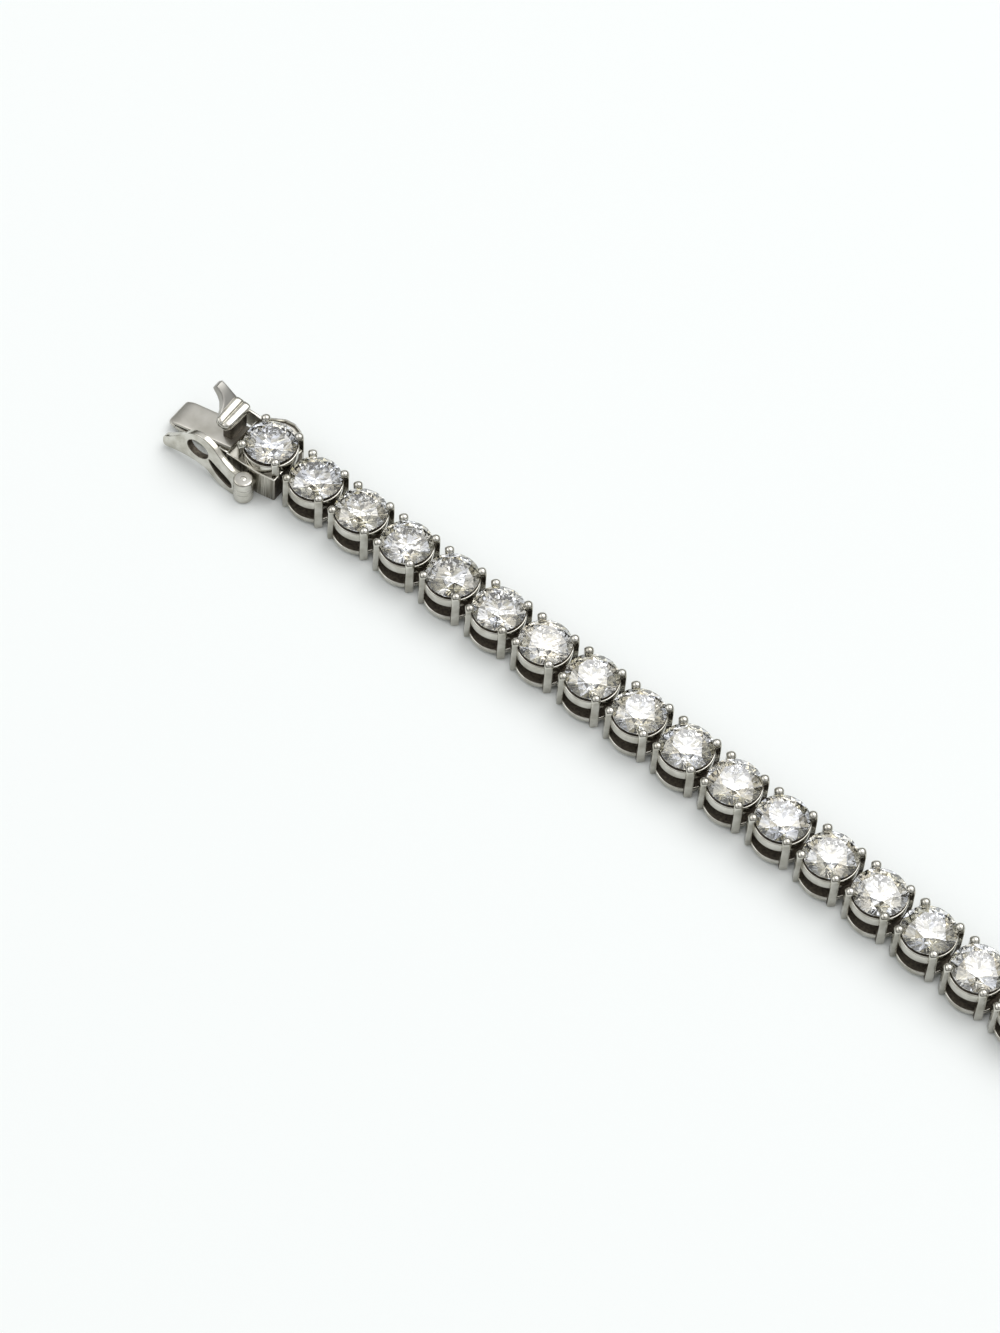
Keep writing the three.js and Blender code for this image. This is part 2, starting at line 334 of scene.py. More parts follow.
def squareRound(count, squareness):
    # a superellipse of half sizes 1: cosine and sine raised to 2 / squareness, signs kept
    angle = np.linspace(0, 2 * np.pi, count, endpoint=False) + np.pi / count
    wave = np.stack([np.cos(angle), np.sin(angle)], -1)
    return np.sign(wave) * np.abs(wave) ** (2 / np.asarray(squareness)[..., None, None])


def roundedBox(x0, x1, y0, y1, edge, steps=3):
    # a rectangle whose four corners are quarter circles of radius edge, as a closed loop
    quarter = np.linspace(0, np.pi / 2, steps + 1)
    middles = [(x1 - edge, y1 - edge), (x0 + edge, y1 - edge), (x0 + edge, y0 + edge), (x1 - edge, y0 + edge)]
    arcs = [quarter + k * np.pi / 2 for k in range(4)]
    return np.concatenate([
        np.array(middle) + edge * np.stack([np.cos(arc), np.sin(arc)], -1)
        for middle, arc in zip(middles, arcs)
    ])


def turnedRing(section, sides, material=0):
    # a closed section of radius and height carried round the upright axis
    angle = np.linspace(0, 2 * np.pi, sides, endpoint=False)[:, None]
    radius, height = section[:, 0], section[:, 1]
    grid = np.stack([
        np.cos(angle) * radius,
        np.sin(angle) * radius,
        np.broadcast_to(height, (sides, len(section))),
    ], -1)
    return torus(grid, material)


def turnedSolid(profile, sides, material=0):
    # an open profile of radius and height carried round the upright axis, its ends closed
    angle = np.linspace(0, 2 * np.pi, sides, endpoint=False)
    radius, height = np.array(profile, float).T
    rings = np.stack([
        radius[:, None] * np.cos(angle),
        radius[:, None] * np.sin(angle),
        np.broadcast_to(height[:, None], (len(radius), sides)),
    ], -1)
    return tube(rings, material)


def smoothLoop(points, perSpan=6):
    # a closed Catmull-Rom curve through the points
    p = np.array(points, float)
    before, after, later = np.roll(p, 1, 0), np.roll(p, -1, 0), np.roll(p, -2, 0)
    t = np.linspace(0, 1, perSpan, endpoint=False)[None, :, None]
    p0, p1, p2, p3 = (q[:, None] for q in (before, p, after, later))
    curve = 0.5 * (2 * p1 + (p2 - p0) * t + (2 * p0 - 5 * p1 + 4 * p2 - p3) * t**2
                   + (3 * p1 - p0 - 3 * p2 + p3) * t**3)
    return curve.reshape(-1, 2)


def softCorners(points, radius, steps=4):
    # each corner of a closed outline becomes a short curve that starts and ends radius away from it
    p = np.array(points, float)
    before, after = np.roll(p, 1, 0) - p, np.roll(p, -1, 0) - p
    before /= np.linalg.norm(before, axis=1)[:, None]
    after /= np.linalg.norm(after, axis=1)[:, None]
    t = np.linspace(0, 1, steps + 1)[None, :, None]
    start, end = (p + radius * before)[:, None], (p + radius * after)[:, None]
    return ((1 - t) ** 2 * start + 2 * t * (1 - t) * p[:, None] + t**2 * end).reshape(-1, 2)


def plate(outlines, low, high, edge, steps=3, material=0, inside=None, back=None):
    # flat outlines, the first outside and the rest holes, given thickness from low to high, with every
    # edge a quarter round of radius edge. Points are the outline's two axes and the thickness. The holes'
    # walls and the low face can have finishes of their own.
    loops, faces, kinds, offset = [], [], [], 0
    inside = material if inside is None else inside
    back = material if back is None else back
    quarter = np.linspace(0, np.pi / 2, steps + 1)
    inset = edge * (1 - np.sin(quarter))
    height = np.concatenate([low + edge * (1 - np.cos(quarter)), high - edge * (1 - np.cos(quarter[::-1]))])
    inset = np.concatenate([inset, inset[::-1]])
    frontRing, backRing = [], []
    for number, outline in enumerate(outlines):
        area = np.sum(outline[:, 0] * np.roll(outline[:, 1], -1) - np.roll(outline[:, 0], -1) * outline[:, 1])
        if (area > 0) == (number > 0):
            outline = outline[::-1]
        along = np.roll(outline, -1, 0) - np.roll(outline, 1, 0)
        along /= np.linalg.norm(along, axis=1)[:, None]
        inward = np.stack([-along[:, 1], along[:, 0]], -1)
        flat = outline[None] + inset[:, None, None] * inward[None]
        count = len(outline)
        rings = np.concatenate([flat, np.broadcast_to(height[:, None, None], (len(height), count, 1))], -1)
        loops.append(rings.reshape(-1, 3))
        faces += [[corner + offset for corner in face] for face in gridFaces(len(height), count, False)]
        kinds += [inside if number else material] * (len(faces) - len(kinds))
        backRing.append((offset, flat[0]))
        frontRing.append((offset + (len(height) - 1) * count, flat[-1]))
        offset += rings.size // 3
    for ring, reverse in ((backRing, True), (frontRing, False)):
        index = np.concatenate([start + np.arange(len(flat)) for start, flat in ring])
        polygons = [[Vector((x, y, 0)) for x, y in flat] for _, flat in ring]
        triangles = [[int(index[corner]) for corner in triangle] for triangle in tessellate_polygon(polygons)]
        faces += matchTurn(np.concatenate(loops), triangles, -1 if reverse else 1)
        kinds += [back if reverse else material] * (len(faces) - len(kinds))
    points = np.concatenate(loops)
    return points, faceOut(points, faces), np.array(kinds)


def matchTurn(points, triangles, side):
    # turns flat triangles so that they look towards +thickness or -thickness
    corners = points[np.array(triangles)]
    lean = np.cross(corners[:, 1] - corners[:, 0], corners[:, 2] - corners[:, 0])[:, 2]
    return [list(t) if value * side > 0 else list(t)[::-1] for t, value in zip(triangles, lean)]


def bar(path, halfThick, halfWidth, squareness=5.0, sides=20, middle=0.0, material=0):
    # a rounded bar carried along a path in X and Z: across the path it's halfThick, along Y halfWidth
    path = np.array(path, float)
    along = np.gradient(path, axis=0)
    along /= np.linalg.norm(along, axis=1)[:, None]
    across = np.stack([-along[:, 1], along[:, 0]], -1)
    section = squareRound(sides, squareness)
    thick = np.broadcast_to(halfThick, len(path))[:, None] * section[:, 0]
    wide = np.broadcast_to(halfWidth, len(path))[:, None] * section[:, 1]
    rings = np.stack([
        path[:, :1] + thick * across[:, :1],
        middle + wide,
        path[:, 1:] + thick * across[:, 1:],
    ], -1)
    return tube(rings, material)


# Moving surfaces about
def turned(surface, angle, shift=(0, 0, 0)):
    # about the upright axis, then moved
    points, faces, material = surface
    cos, sin = math.cos(angle), math.sin(angle)
    x = points[:, 0] * cos - points[:, 1] * sin
    y = points[:, 0] * sin + points[:, 1] * cos
    return np.stack([x, y, points[:, 2]], -1) + np.array(shift, float), faces, material


def standing(surface):
    # an outline in X and Z with thickness along Y, from one in X and Y with thickness along Z
    points, faces, material = surface
    return points[:, [0, 2, 1]], [face[::-1] for face in faces], material


def lying(surface, shift=(0, 0, 0)):
    # the upright axis laid along -Y
    points, faces, material = surface
    laid = np.stack([points[:, 0], -points[:, 2], points[:, 1]], -1)
    return laid + np.array(shift, float), faceOut(laid, faces), material


def toStation(surface, link):
    return turned(surface, turns[link], (*centres[link], 0))


# Every piece is one mesh in place, riding on its body and standing for its CAD nodes
def makePiece(name, surfaces, body, replaced, materials, sharpness=35):
    points, faces, kinds, offset = [], [], [], 0
    for surfacePoints, surfaceFaces, material in surfaces:
        points.append(surfacePoints)
        faces += [[corner + offset for corner in face] for face in surfaceFaces]
        kinds.append(np.broadcast_to(material, len(surfaceFaces)))
        offset += len(surfacePoints)
    mesh = bpy.data.meshes.new(name)
    mesh.from_pydata((np.concatenate(points) * mm).tolist(), [], faces)
    mesh.polygons.foreach_set("material_index", np.concatenate(kinds).astype(np.int32))
    if sharpness:
        mesh.polygons.foreach_set("use_smooth", np.ones(len(faces), bool))
        mesh.set_sharp_from_angle(angle=math.radians(sharpness))
    for material in materials:
        mesh.materials.append(material)
    mesh.update()
    piece = bpy.data.objects.new(name, mesh)
    bpy.context.scene.collection.objects.link(piece)
    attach(piece, body)
    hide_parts(*replaced)
    return piece


metals = (polishedMetal, brushedMetal, satinMetal, castShadedMetal, satinShadedMetal)
polishedFace, brushedFace, satinFace, castShadedFace, satinShadedFace = range(len(metals))

# Brilliants, mm
brilliant = {
    "radius": 1.95,
    "tableRadius": 1.1,
    "culet": 1.17,
    "girdleLow": 2.83,
    "girdleHigh": 2.93,
    "table": 3.5,
    "starShare": 0.5,  # how far the stars reach from the table's edge to the girdle
    "lowerShare": 0.78,  # how far the lower halves reach from the girdle to the culet
    "paintedFacetColours": ("#F4F4F2", "#E8ECF6", "#E9E2CF", "#D2D6DC", "#CDC4AE", "#ABA48C", "#7F7A62"),  # painted fire and painted dark reflections, pale to dark
    "paintedColourSpread": (2.4, 8.5),  # how far down the tints a facet may go, at the middle and at the girdle
    "seed": 11,
}


def brilliantSurface():
    # Corners are rings of radius, angle and height. Kites lie in planes through the table's corners and
    # the girdle, so a star's tip is where two kites meet; mains and lower halves meet in the same way.
    g = brilliant
    radius, eighth = g["radius"], np.pi / 4
    k = np.arange(8)
    half = math.cos(eighth / 2)
    crown = (g["table"] - g["girdleHigh"]) / (radius - g["tableRadius"])
    pavilion = (g["girdleLow"] - g["culet"]) / radius
    starRadius = (1 - g["starShare"]) * g["tableRadius"] * half + g["starShare"] * radius
    starHeight = g["girdleHigh"] + (radius - starRadius * half) * crown
    lowerRadius = (1 - g["lowerShare"]) * radius
    lowerHeight = g["culet"] + lowerRadius * half * pavilion

    def corners(count, r, z, shift=0.0):
        angle = 2 * np.pi * (np.arange(count) + shift) / count
        return np.stack([r * np.cos(angle), r * np.sin(angle), np.full(count, z)], -1)

    def scallop(edge, tips):
        # between two corners the girdle's edge follows the facet's plane, so it dips in eight arcs
        tip = np.repeat(tips, 8, 0)
        start = edge[(np.arange(64) // 4) * 4]
        end = edge[((np.arange(64) // 4) * 4 + 4) % 64]
        normal = np.cross(start - tip, end - tip)
        away = edge - tip
        lowered = edge.copy()
        lowered[:, 2] = tip[:, 2] - (normal[:, 0] * away[:, 0] + normal[:, 1] * away[:, 1]) / normal[:, 2]
        return lowered

    tableRing = corners(8, g["tableRadius"], g["table"])
    stars = corners(8, starRadius, starHeight, 0.5)
    lowers = corners(8, lowerRadius, lowerHeight, 0.5)
    upperEdge = scallop(corners(64, radius, g["girdleHigh"]), stars)
    lowerEdge = scallop(corners(64, radius, g["girdleLow"]), lowers)
    points = np.concatenate([tableRing, stars, upperEdge, lowerEdge, lowers, [[0, 0, g["culet"]]]])
    table, star, upper, lower, tip, culet = 0, 8, 16, 80, 144, 152
    after, before = (k + 1) % 8, (k - 1) % 8
    arc = np.arange(5)
    faces = [list(range(8))]
    faces += np.stack([table + k, star + k, table + after], -1).tolist()
    faces += np.stack([table + k, star + before, upper + 8 * k, star + k], -1).tolist()
    m = np.arange(64)
    nextM = (m + 1) % 64
    girdle = np.stack([upper + m, lower + m, lower + nextM, upper + nextM], -1).tolist()
    for part in (0, 4):
        edge = (8 * k[:, None] + part + arc) % 64
        faces += np.concatenate([star + k[:, None], upper + edge], 1).tolist()
        faces += np.concatenate([tip + k[:, None], lower + edge[:, ::-1]], 1).tolist()
    faces += np.stack([np.full(8, culet), tip + k, lower + 8 * k, tip + before], -1).tolist()
    return points, faces + girdle, 0


def paintFireAndShade(mesh, random):
    # painted light for each facet, on its corners: a faint colour of fire, darker towards the girdle as
    # painted dark reflections
    palette = np.array([linear(tint) for tint in brilliant["paintedFacetColours"]])
    count = len(mesh.polygons)
    sizes, middles = np.zeros(count, np.int32), np.zeros(3 * count, np.float32)
    mesh.polygons.foreach_get("loop_total", sizes)
    mesh.polygons.foreach_get("center", middles)
    middles = middles.reshape(-1, 3)[:, :2]
    out = np.linalg.norm(middles - middles.mean(axis=0), axis=1) / (brilliant["radius"] * mm)
    reach = np.interp(out, (0, 1), brilliant["paintedColourSpread"])
    colours = palette[np.minimum(random.random(count) * reach, len(palette) - 1).astype(int)]
    painted_fire_shade = mesh.attributes.new("painted_fire_shade", "FLOAT_COLOR", "CORNER")
    painted_fire_shade.data.foreach_set("color", np.repeat(colours, sizes, 0).astype(np.float32).ravel())


def makeStones():
    cut = brilliantSurface()
    random = np.random.default_rng(brilliant["seed"])
    for link, name in enumerate(stoneNames):
        spun = turned(cut, random.uniform(0, np.pi / 4))
        placed = toStation((spun[0] + (0, 0, lifts[link]), spun[1], 0), link)
        piece = makePiece("brilliant_" + name[-2:], [placed], "root", [name], [gemGlass],
                          sharpness=0)
        paintFireAndShade(piece.data, random)


makeStones()
print("stones cut:", len(stoneNames))

# Settings: four prongs, a gallery rail under the girdle, a lower rail and the hinge, mm
setting = {
    "prongRows": (  # height, distance from the axis, half depth, half width, squareness
        (0.00, 2.20, 0.15, 0.22, 5.0),
        (0.04, 2.20, 0.20, 0.28, 8.0),
        (0.10, 2.20, 0.22, 0.305, 12.0),
        (1.30, 2.20, 0.22, 0.305, 12.0),
        (2.60, 2.20, 0.22, 0.305, 11.0),
        (2.88, 2.20, 0.22, 0.31, 8.0),
        (2.99, 2.16, 0.27, 0.33, 5.0),
        (3.09, 2.12, 0.32, 0.345, 3.2),
        (3.19, 2.10, 0.31, 0.325, 2.5),
        (3.28, 2.09, 0.25, 0.26, 2.2),
        (3.335, 2.09, 0.16, 0.165, 2.0),
        (3.36, 2.09, 0.06, 0.06, 2.0),
    ),
    "prongSides": 24,
    "headRow": 3,  # a raised head's prongs start from this row
    "inside": 2.6,  # below this the prongs' inner faces take the cast finish, its dark colour painted shade
    "rail": (1.66, 2.06, 1.78, 2.60),  # inner and outer radius, bottom and top
    "lowerRail": (1.0, 2.10, 0.20, 0.62),
    "railEdge": 0.08,
    "railSides": 56,
}
hinge = {
    "height": 0.50,
    "radius": 0.30,
    "halfWidth": 0.65,
    "middle": 0.24,  # half width of the middle knuckle
    "gap": 0.03,
    "tab": 0.17,  # half the tab's thickness
    "reach": 0.42,  # from the pin to the rail
}


def prongSurfaces(lift=0.0, foot=0.0):
    # each row is a superellipse set out from the axis; foot is how low a raised head's prongs reach
    height, out, depth, width, squareness = np.array(setting["prongRows"]).T
    section = squareRound(setting["prongSides"], squareness)
    height = np.maximum(height, foot) + lift
    rings = np.stack([
        out[:, None] + depth[:, None] * section[..., 0],
        width[:, None] * section[..., 1],
        np.broadcast_to(height[:, None], section.shape[:2]),
    ], -1)
    if foot:
        first = setting["headRow"]
        rings, section, height = rings[first:], section[first:], height[first:]
    # low inner faces, inside the setting, take the cast finish: painted shade
    inner = (section[:-1, :, 0] < -0.5) & (height[1:, None] < setting["inside"] + lift)
    upright = tube(rings, np.where(inner, castShadedFace, polishedFace).ravel())
    return [turned(upright, (2 * corner + 1) * np.pi / 4) for corner in range(4)]


def rail(inner, outer, low, high, dullShadedTop=False):
    # a rounded band; its inner wall, and its top if asked, take the cast finish, whose dark colour is painted
    # shade
    edge, sides = setting["railEdge"], setting["railSides"]
    section = roundedBox(inner, outer, low, high, edge)
    middle = (section + np.roll(section, -1, 0)) / 2
    dull = middle[:, 0] < inner + 0.7 * edge
    if dullShadedTop:
        dull |= (middle[:, 1] > high - 0.3 * edge) & (middle[:, 0] < outer - edge)
    return turnedRing(section, sides, np.tile(np.where(dull, castShadedFace, polishedFace), sides))


def settingSurfaces():
    return [*prongSurfaces(), rail(*setting["rail"], dullShadedTop=True), rail(*setting["lowerRail"], dullShadedTop=True)]


# The hinge's knuckles and tabs take the cast finish: its dark colour is painted shade in the gaps between
# links
def knuckle(y0, y1):
    # a short tube with softened ends, its axis along Y at the pin's height
    edge = 0.05
    r = hinge["radius"]
    profile = [(r - edge, y0), (r, y0 + edge), (r, y1 - edge), (r - edge, y1)]
    return lying(turnedSolid(profile, 16, castShadedFace), (0, 0, hinge["height"]))


def tab(y0, y1, side):
    # the flat that joins a knuckle to the rail on its side
    low, high = hinge["height"] - hinge["tab"], hinge["height"] + hinge["tab"]
    outline = roundedBox(0, hinge["reach"], low, high, 0.05, 2)
    outline[:, 0] *= side
    return standing(plate([outline], y0, y1, 0.03, 1, castShadedFace))


def hingeHalf(link, side):
    # side 1 is the fork after a link, with two knuckles, and side -1 the single knuckle before it
    first = link if side > 0 else link - 1
    spot = (centres[first] + centres[first + 1]) / 2
    inner, outer = hinge["middle"], hinge["halfWidth"]
    fork = [(inner + hinge["gap"], outer), (-outer, -inner - hinge["gap"])]
    spans = fork if side > 0 else [(-inner, inner)]
    surfaces = []
    for y0, y1 in spans:
        surfaces += [knuckle(-y1, -y0), tab(y0, y1, -side)]
    return [turned(surface, headings[first], (*spot, 0)) for surface in surfaces]


def makeSettings():
    plain = settingSurfaces()
    for number, first in enumerate(range(1, lastLink, row["runLength"]), 1):
        surfaces = []
        for link in range(first, min(first + row["runLength"], lastLink)):
            surfaces += [toStation(surface, link) for surface in plain]
            surfaces += hingeHalf(link, 1) + hingeHalf(link, -1)
        name = f"{number:02d}"
        makePiece("prong_settings_" + name, surfaces, "root", ["settings_run_" + name], metals)
    print("settings made:", lastLink - 1)


makeSettings()

# Both clasp bases carry a raised head, mm
head = {
    "baseHigh": 2.4,
    "seat": (1.66, 2.10, 2.18, 3.08),
    "deck": 2.2,  # the recessed floor that the head stands on
    "deckLow": 2.0,
    "hole": 1.5,
    "rim": 0.2,
    "wall": 0.28,
    "edge": 0.06,
}


def headSurfaces():
    return [*prongSurfaces(lifts[0], head["deck"] - lifts[0] - 0.1), rail(*head["seat"], dullShadedTop=True)]


# Tongue link: base with a pocket under it, lower leaf, two cheeks and the catch's ear, mm
tongueLink = {
    "outline": (
        (1.85, -2.1), (1.85, 1.4), (1.45, 2.2), (0.75, 2.8), (0.0, 3.1),
        (-0.8, 3.05), (-1.6, 2.6), (-2.5, 2.1), (-2.5, -2.1), (0.5, -2.26),
    ),
    "corner": 0.1,
    "leaf": (-7.77, -2.3),
    "leafMiddle": 0.5,
    "leafHalf": (0.16, 1.2),
    "nearCheek": ((-2.75, 1.3), (-2.3, 1.3), (-2.3, 2.3), (-3.3, 2.35), (-3.3, 1.9)),
    "farCheek": ((-3.5, 1.2), (-2.3, 1.2), (-1.5, 2.3), (-1.5, 2.62), (-3.5, 2.85)),
    "cheekAt": 1.875,
    "cheekHalf": 0.13,
    "drum": (-0.22, -3.08),
    "drumRadius": 0.75,
    "earLow": 0.9,
    "earHigh": 1.4,
    "pinRadius": 0.22,
}


def polarOutline(points, angles):
    # how far the outline is from the axis at each angle; its sides are cut up first, to stay straight
    share = np.linspace(0, 1, 40, endpoint=False)[:, None]
    points = np.concatenate([a + share * (b - a) for a, b in zip(points, np.roll(points, -1, axis=0))])
    radius = np.linalg.norm(points, axis=1)
    angle = np.arctan2(points[:, 1], points[:, 0])
    order = np.argsort(angle)
    return np.interp(angles, angle[order], radius[order], period=2 * np.pi)


def baseShell():
    # a closed section carried round the head's axis: up the outer wall, over the rim, down to the deck,
    # in to its hole, back under the deck and down the pocket's wall
    t = tongueLink
    angles = np.linspace(-np.pi, np.pi, 360, endpoint=False)
    outer = polarOutline(softCorners(t["outline"], t["corner"]), angles)
    hole = np.full_like(outer, head["hole"])
    top, edge, rim, wall = head["baseHigh"], head["edge"], head["rim"], head["wall"]
    deck, under = head["deck"], head["deckLow"]
    # faces in the cast finish, the rim's inner wall, the deck's hole and underside and the pocket's wall, are
    # dark as painted shade
    layers = [  # distance from the axis, height, finish of the face that follows
        (outer - 0.04, 0.0, brushedFace), (outer, 0.05, brushedFace), (outer, top - edge, polishedFace),
        (outer - 0.3 * edge, top - 0.3 * edge, polishedFace), (outer - edge, top, polishedFace),
        (outer - rim + edge, top, polishedFace), (outer - rim, top - edge, castShadedFace),
        (outer - rim, deck, satinFace), (hole, deck, castShadedFace), (hole, under, castShadedFace),
        (outer - wall, under, castShadedFace), (outer - wall, 0.0, brushedFace),
    ]
    grid = np.stack([
        np.stack([radius * np.cos(angles), radius * np.sin(angles), np.full_like(angles, height)], -1)
        for radius, height, _ in layers
    ], 1)
    finishes = np.tile([finish for *_, finish in layers], (len(angles), 1))
    # the end towards the row takes the cast finish, its dark colour painted shade for the gap to the next
    # link
    finishes[grid[:, 1, 0] > t["outline"][0][0] - 0.02, :2] = castShadedFace
    return torus(grid, finishes.ravel())


def drumRing(low, high, softLow=0.03, softHigh=0.03):
    # a knuckle round the pin; its outer edges are quarter rounds of their own radii
    t = tongueLink
    inner, outer = t["pinRadius"] + 0.01, t["drumRadius"]
    rise = np.radians(np.linspace(-90, 0, 5))
    fall = np.radians(np.linspace(0, 90, 5))
    foot = np.stack([outer - softLow + softLow * np.cos(rise), low + softLow + softLow * np.sin(rise)], -1)
    crown = np.stack([outer - softHigh + softHigh * np.cos(fall),
                      high - softHigh + softHigh * np.sin(fall)], -1)
    section = np.concatenate([foot, crown, [(inner, high), (inner, low)]])
    # its level top, the face after the crown's last point, takes the greyer satin: painted shade
    finishes = np.full(len(section), polishedFace)
    finishes[len(foot) + len(crown) - 1] = satinShadedFace
    return turnedRing(section, 48, np.tile(finishes, 48))


def tongueSurfaces():
    t = tongueLink
    start, end = t["leaf"]
    thick, wide = t["leafHalf"]
    leafPath = np.stack([np.linspace(start, end, 6), np.full(6, t["leafMiddle"])], -1)
    surfaces = [baseShell(), *headSurfaces(), bar(leafPath, thick, wide, 9.0, 24, material=satinFace)]
    # the near cheek's face towards the catch takes the cast finish, its dark colour painted shade
    for cheek, side, finish in (("nearCheek", -1, castShadedFace), ("farCheek", 1, satinFace)):
        low, high = side * t["cheekAt"] - t["cheekHalf"], side * t["cheekAt"] + t["cheekHalf"]
        surfaces.append(standing(plate([softCorners(t[cheek], 0.14)], low, high, 0.08, back=finish)))
    x, y = t["drum"]
    surfaces.append(turned(drumRing(t["earLow"], t["earHigh"]), 0, (x, y, 0)))
    web = roundedBox(x - 0.42, x + 0.42, y + 0.5, -2.0, 0.05, 2)
    surfaces.append(plate([web], t["earLow"], t["earHigh"], 0.05, 2))
    return surfaces


def makeTongueLink():
    surfaces = [toStation(surface, 0) for surface in tongueSurfaces()] + hingeHalf(0, 1)
    makePiece("tongue_base", surfaces, "root", ["tongue_link"], metals)


makeTongueLink()

# Thumb press: the strip folded back on itself, a stem, a head of two ridges and the raised tail, mm
thumbPress = {
    "fold": (-8.15, 0.68),
    "foldRadius": 0.18,
    "slope": 0.17,
    "lipEnd": -7.84,
    "leafEnd": -2.72,
    "half": (0.16, 1.2),
    "foldShare": 0.86,  # the strip's width at the fold, as a share of its full width
    "widening": 0.75,  # how far from the fold it reaches its full width
    "rim": (0.95, 0.14),  # how far from the fold it thins from above, and by how much
    "stem": (-3.52, 0.45, 0.46, 1.0, 1.7, 3.6),  # middle, half depth, half width, bottom, top
    "ridges": (-3.9, -3.2),
    "ridgeHeight": 3.8,
    "ridgeRadius": 0.38,
    "ridgeFlat": 0.62,  # 1 is a round ridge, less is flatter on top
    "headLow": 3.42,
    "head": (-1.28, 1.62),
    "taper": (0.86, 1.06),  # the head is narrower at its near end
    "headLean": 9.0,  # degrees that its top leans towards the stone
    "fin": (  # x, height, half thickness, nearest and farthest Y
        (-5.60, 4.92, 0.16, 0.84, 1.46),
        (-5.57, 4.89, 0.25, 0.74, 1.52),
        (-5.37, 4.70, 0.33, 0.72, 1.53),
        (-5.08, 4.46, 0.36, 0.64, 1.53),
        (-4.78, 4.22, 0.36, 0.44, 1.54),
        (-4.50, 4.02, 0.32, 0.00, 1.56),
        (-4.26, 3.90, 0.26, -0.62, 1.57),
        (-4.10, 3.80, 0.22, -1.02, 1.56),
        (-3.95, 3.72, 0.18, -1.12, 1.54),
    ),
}


def foldedLeaf():
    # the strip's middle line: a short lip under the fold, round the fold, then up the slope
    p = thumbPress
    (x, z), r = p["fold"], p["foldRadius"]
    lip = [(p["lipEnd"], z - r), (p["lipEnd"] - 0.05, z - r), ((p["lipEnd"] + x) / 2, z - r)]
    angle = np.radians(np.linspace(-90, -270 + math.degrees(math.atan(p["slope"])), 14))
    roundFold = np.concatenate([lip, np.stack([x + r * np.cos(angle), z + r * np.sin(angle)], -1)])
    end = roundFold[-1]
    run = np.array([0.02, 0.04, 0.06, 0.085, 0.11, 0.14, 0.17, 0.25, 0.4, 0.6, 0.8, 1])[:, None]
    path = np.concatenate([roundFold, end + run * (p["leafEnd"] - end[0]) * np.array([[1, p["slope"]]])])
    # half width grows from the fold as a quarter ellipse
    thick, wide = p["half"]
    fromFold = path[:, 0] - path[:, 0].min()
    away = np.clip(fromFold / p["widening"], 0, 1)
    wide *= p["foldShare"] + (1 - p["foldShare"]) * np.sqrt(1 - (1 - away) ** 2)
    # the outer side drops as a parabola, and the inner side stays
    reach, depth = p["rim"]
    drop = depth * (1 - np.clip(fromFold / reach, 0, 1)) ** 2 * np.clip((path[:, 1] - z + r) / (2 * r), 0, 1)
    path[:, 1] -= drop / 2
    return bar(path, thick - drop / 2, wide, 6.0, 28, material=satinFace)


def pressHead():
    # two ridges side by side over a flat underside, carried along Y and drawn in to a round nose at each end
    p = thumbPress
    r, z = p["ridgeRadius"], p["ridgeHeight"]
    left, right = (np.radians(np.linspace(*span, 12)) for span in ((180, 32), (148, 0)))
    flat = p["ridgeFlat"]
    over = [
        np.stack([
            x + r * np.sign(np.cos(a)) * np.abs(np.cos(a)) ** flat,
            z + r * np.abs(np.sin(a)) ** flat,
        ], -1)
        for x, a in zip(p["ridges"], (left, right))
    ]
    low, x0, x1 = p["headLow"], p["ridges"][0] - r, p["ridges"][1] + r
    under = np.array([(x1, low + 0.2), (x1 - 0.12, low + 0.04), (x1 - 0.3, low), (x0 + 0.3, low),
                      (x0 + 0.12, low + 0.04), (x0, low + 0.2)])
    middle = np.array([(x0 + x1) / 2, (low + z + r) / 2])
    lean = math.radians(p["headLean"])
    tilt = np.array([[math.cos(lean), -math.sin(lean)], [math.sin(lean), math.cos(lean)]])
    section = middle + (np.concatenate([*over, under]) - middle) @ tilt
    share = np.sin(np.linspace(-0.5, 0.5, 21) * np.pi)
    draw = (1 - np.abs(share * 0.999) ** np.where(share < 0, 7, 14)) ** (1 / 2.2)
    along = (p["head"][0] + p["head"][1]) / 2 + share * (p["head"][1] - p["head"][0]) / 2
    width = np.interp(share, (-1, 1), p["taper"])
    stretch = np.stack([width, np.ones_like(width)], -1)[:, None]
    drawn = middle + draw[:, None, None] * (section - middle) * stretch
    rings = np.stack([drawn[..., 0], np.broadcast_to(along[:, None], drawn.shape[:2]), drawn[..., 1]], -1)
    return tube(rings)


def pressFin():
    # a rounded bar that widens from its tip to the whole length of the head
    x, height, thick, near, far = np.array(thumbPress["fin"]).T
    path = np.stack([x, height], -1)
    # the fin takes the greyer satin: painted shade
    return bar(path, thick, (far - near) / 2, 7.0, 32, ((near + far) / 2)[:, None], satinShadedFace)


def pressSurfaces():
    p = thumbPress
    x, y, depth, width, low, high = p["stem"]
    section = squareRound(24, 6.0) * (depth, width) + (x, y)
    levels = np.linspace(low, high, 4)
    rings = np.stack([
        np.broadcast_to(section[:, 0], (4, 24)),
        np.broadcast_to(section[:, 1], (4, 24)),
        np.broadcast_to(levels[:, None], (4, 24)),
    ], -1)
    # the stem under the head takes the cast finish, its dark colour painted shade
    return [foldedLeaf(), tube(rings, castShadedFace), pressHead(), pressFin()]


def makeThumbPress():
    surfaces = [toStation(surface, 0) for surface in pressSurfaces()]
    makePiece("folded_press", surfaces, "press", ["thumb_press"], metals)


makeThumbPress()

